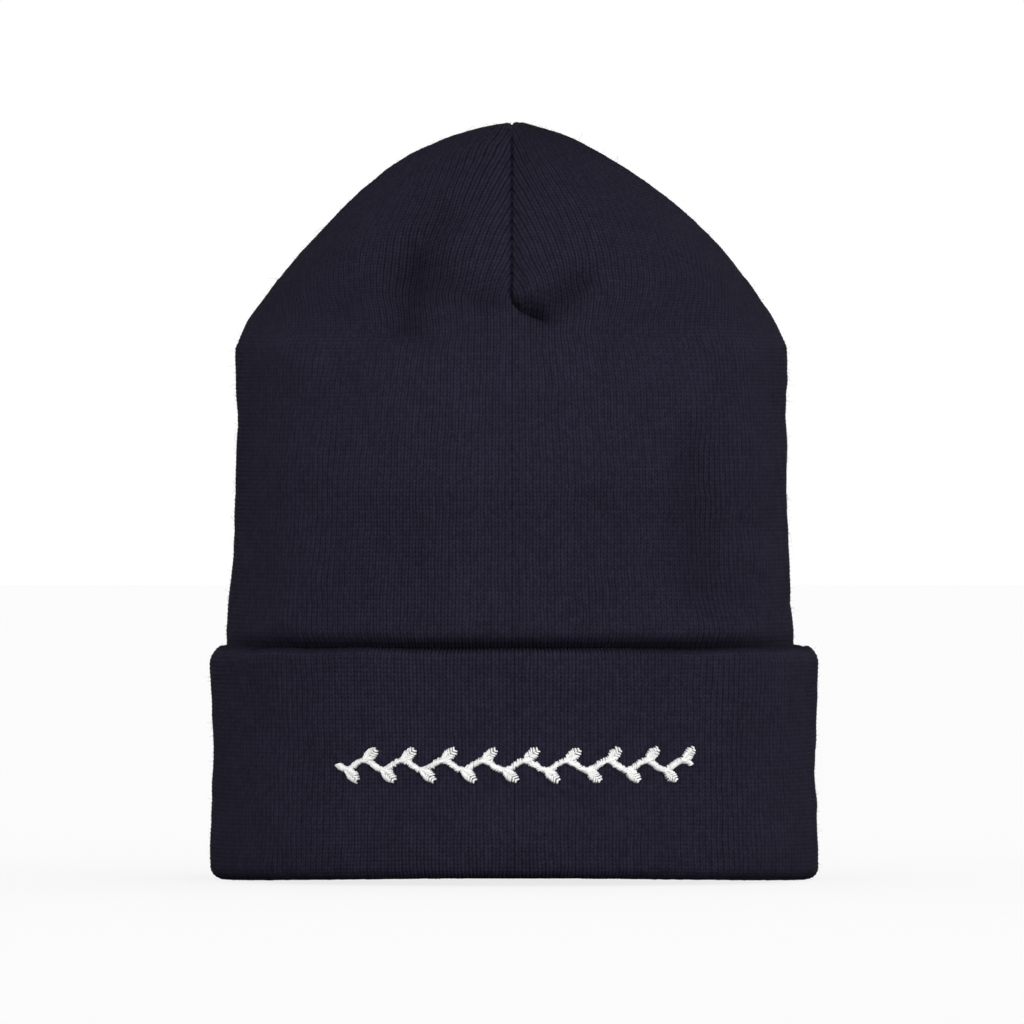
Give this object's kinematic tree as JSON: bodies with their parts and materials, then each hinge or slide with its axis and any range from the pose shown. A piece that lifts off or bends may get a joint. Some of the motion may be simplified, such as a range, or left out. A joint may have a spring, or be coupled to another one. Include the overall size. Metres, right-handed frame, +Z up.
{
  "type": "cuffed knit beanie",
  "caption": "Close-fitting double-layer knit hat with a turned-up cuff, dart-closed crown and an embroidered motif on the cuff.",
  "frame": {"origin": "middle of the plane the brim rests on", "axes": "+Z up through the crown, -Y towards the front with the embroidery, +X to the wearer's left"},
  "size_m": [0.1782, 0.2152, 0.221],
  "materials": {
    "cuff_knit": "matt rib knit",
    "body_knit": "matt rib knit",
    "lining_knit": "matt rib knit",
    "seam_thread": "matt overlock thread",
    "embroidery_thread": "satin stitch",
    "backing_sheet": "matt felted sheet",
    "label_satin": "satin ribbon"
  },
  "bodies": {
    "brim": {"cuff_outer_ply": "cuff_knit", "cuff_inner_ply": "cuff_knit", "embroidery": "embroidery_thread", "embroidery_backing": "backing_sheet"},
    "crown": {"body_outer_ply": "body_knit", "body_lining_ply": "lining_knit", "crown_tack": "seam_thread", "label_tack": "seam_thread", "crown_seam_front": "seam_thread", "crown_seam_back": "seam_thread", "crown_seam_left": "seam_thread", "crown_seam_right": "seam_thread", "lining_seam_front": "seam_thread", "lining_seam_back": "seam_thread", "lining_seam_left": "seam_thread", "lining_seam_right": "seam_thread"},
    "label": {"care_label": "label_satin"}
  },
  "joints": [
    {"name": "cuff_unroll", "type": "slide", "parent": "brim", "child": "crown", "axis": [0, 0, 1], "range_m": [0, 0.06]},
    {"name": "label_lift", "type": "hinge", "parent": "crown", "child": "label", "pos_m": [0, 0.0938, 0.054], "axis": [-1, 0, 0], "range_deg": [0, 80]}
  ]
}
